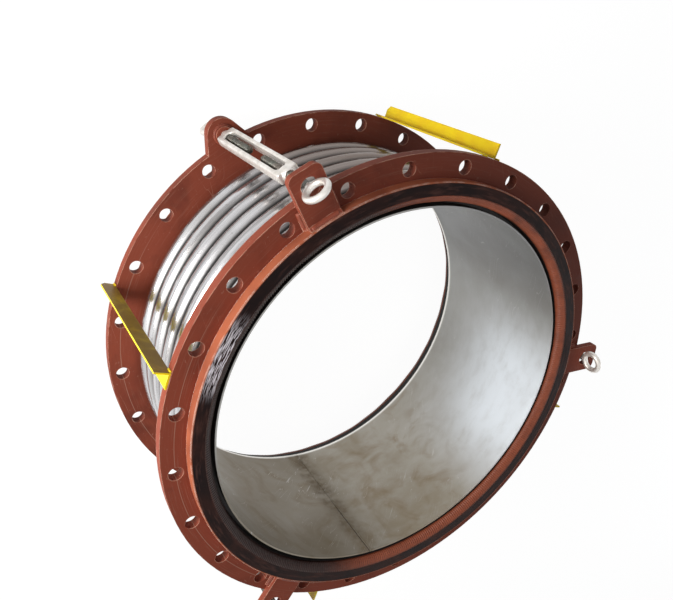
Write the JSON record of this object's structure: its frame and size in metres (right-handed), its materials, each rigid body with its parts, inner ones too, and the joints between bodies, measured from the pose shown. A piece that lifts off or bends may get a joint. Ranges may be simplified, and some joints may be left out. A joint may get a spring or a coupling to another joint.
{
  "type": "expansion joint",
  "caption": "Large flanged metal bellows expansion joint with an inner flow liner, turnbuckle limit rods and yellow shipping bars.",
  "frame": {"origin": "centre of the rear flange plate's outer face, on the pipe axis", "axes": "+Z along the pipe axis to the front flange, which faces up as modelled; +Y through the first limit rod; +X completes a right-handed frame"},
  "size_m": [1.075, 1.1335, 0.5655],
  "materials": {
    "primer": "matt red-brown primer",
    "collar": "primer on the wall, bare turned steel on the face",
    "weld": "as-welded bead",
    "stainless": "rolled stainless sheet",
    "zinc": "bright zinc plate",
    "yellow": "bright yellow paint"
  },
  "bodies": {
    "joint_frame": {"rear_flange": "primer", "front_flange": "primer", "rear_collar": "collar", "front_collar": "collar", "rear_weld_bead": "weld", "front_weld_bead": "weld", "bellows": "stainless", "liner": "stainless", "liner_ring": "stainless", "front_lug_1": "primer", "front_lug_2": "primer", "front_lug_3": "primer", "rear_bush_1": "primer", "rear_bush_2": "primer", "rear_bush_3": "primer", "shipping_bar_1": "yellow", "shipping_bar_2": "yellow", "shipping_bar_3": "yellow", "shipping_bar_4": "yellow"},
    "turnbuckle_1": {"turnbuckle_body_1": "zinc"},
    "front_eye_1": {"front_eye_bolt_1": "zinc"},
    "rear_eye_1": {"rear_eye_bolt_1": "zinc"},
    "turnbuckle_2": {"turnbuckle_body_2": "zinc"},
    "front_eye_2": {"front_eye_bolt_2": "zinc"},
    "rear_eye_2": {"rear_eye_bolt_2": "zinc"},
    "turnbuckle_3": {"turnbuckle_body_3": "zinc"},
    "front_eye_3": {"front_eye_bolt_3": "zinc"},
    "rear_eye_3": {"rear_eye_bolt_3": "zinc"}
  },
  "joints": [
    {"name": "turnbuckle_1_turn", "type": "hinge", "parent": "joint_frame", "child": "turnbuckle_1", "pos_m": [0, 0.56, 0.196], "axis": [0, 0, 1], "range_deg": [0, 16920]},
    {"name": "front_eye_1_slide", "type": "slide", "parent": "joint_frame", "child": "front_eye_1", "axis": [0, 0, 1], "range_m": [0, 0.0945]},
    {"name": "rear_eye_1_slide", "type": "slide", "parent": "joint_frame", "child": "rear_eye_1", "axis": [0, 0, -1], "range_m": [0, 0.0945]},
    {"name": "turnbuckle_2_turn", "type": "hinge", "parent": "joint_frame", "child": "turnbuckle_2", "pos_m": [-0.48497, -0.28, 0.196], "axis": [0, 0, 1], "range_deg": [0, 16920]},
    {"name": "front_eye_2_slide", "type": "slide", "parent": "joint_frame", "child": "front_eye_2", "axis": [0, 0, 1], "range_m": [0, 0.0945]},
    {"name": "rear_eye_2_slide", "type": "slide", "parent": "joint_frame", "child": "rear_eye_2", "axis": [0, 0, -1], "range_m": [0, 0.0945]},
    {"name": "turnbuckle_3_turn", "type": "hinge", "parent": "joint_frame", "child": "turnbuckle_3", "pos_m": [0.48497, -0.28, 0.196], "axis": [0, 0, 1], "range_deg": [0, 16920]},
    {"name": "front_eye_3_slide", "type": "slide", "parent": "joint_frame", "child": "front_eye_3", "axis": [0, 0, 1], "range_m": [0, 0.0945]},
    {"name": "rear_eye_3_slide", "type": "slide", "parent": "joint_frame", "child": "rear_eye_3", "axis": [0, 0, -1], "range_m": [0, 0.0945]}
  ],
  "couplings": [
    {"joint": "front_eye_1_slide", "follows": "turnbuckle_1_turn", "m_per_rad": 0.00031831},
    {"joint": "rear_eye_1_slide", "follows": "turnbuckle_1_turn", "m_per_rad": 0.00031831},
    {"joint": "front_eye_2_slide", "follows": "turnbuckle_2_turn", "m_per_rad": 0.00031831},
    {"joint": "rear_eye_2_slide", "follows": "turnbuckle_2_turn", "m_per_rad": 0.00031831},
    {"joint": "front_eye_3_slide", "follows": "turnbuckle_3_turn", "m_per_rad": 0.00031831},
    {"joint": "rear_eye_3_slide", "follows": "turnbuckle_3_turn", "m_per_rad": 0.00031831}
  ]
}
